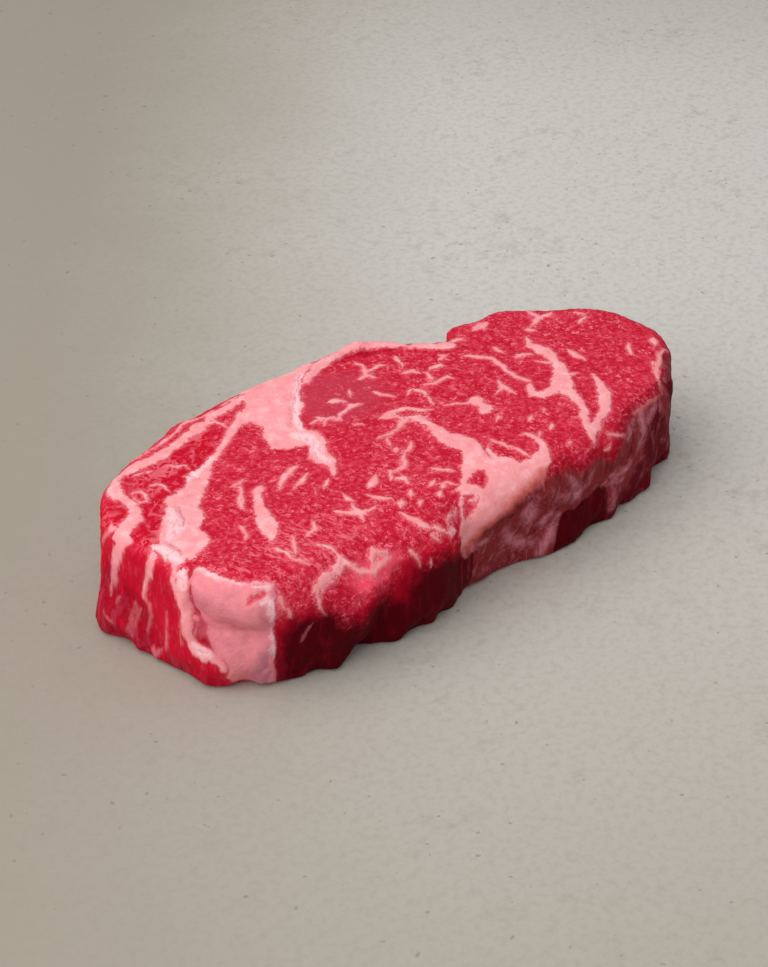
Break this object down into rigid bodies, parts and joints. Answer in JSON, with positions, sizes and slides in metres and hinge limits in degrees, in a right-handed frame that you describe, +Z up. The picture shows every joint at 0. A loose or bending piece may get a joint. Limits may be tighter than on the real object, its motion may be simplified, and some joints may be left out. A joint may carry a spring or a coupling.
{
  "type": "entrecote steak",
  "caption": "Thick-cut raw boneless rib-eye steak lying on its cut face: long flat slab with a blunt end, a round end, a rounded fat corner and a notched far edge.",
  "frame": {"origin": "middle of the bounding box, on the surface that the steak lies on", "axes": "+X along the steak's length towards its round end, +Y towards the straight far side, +Z up out of the upper cut face"},
  "size_m": [0.1748, 0.083, 0.0348],
  "materials": {
    "meat": "moist raw beef, crimson lean with pale pink fat and marbling"
  },
  "bodies": {
    "root": {"steak": "meat"}
  },
  "joints": []
}
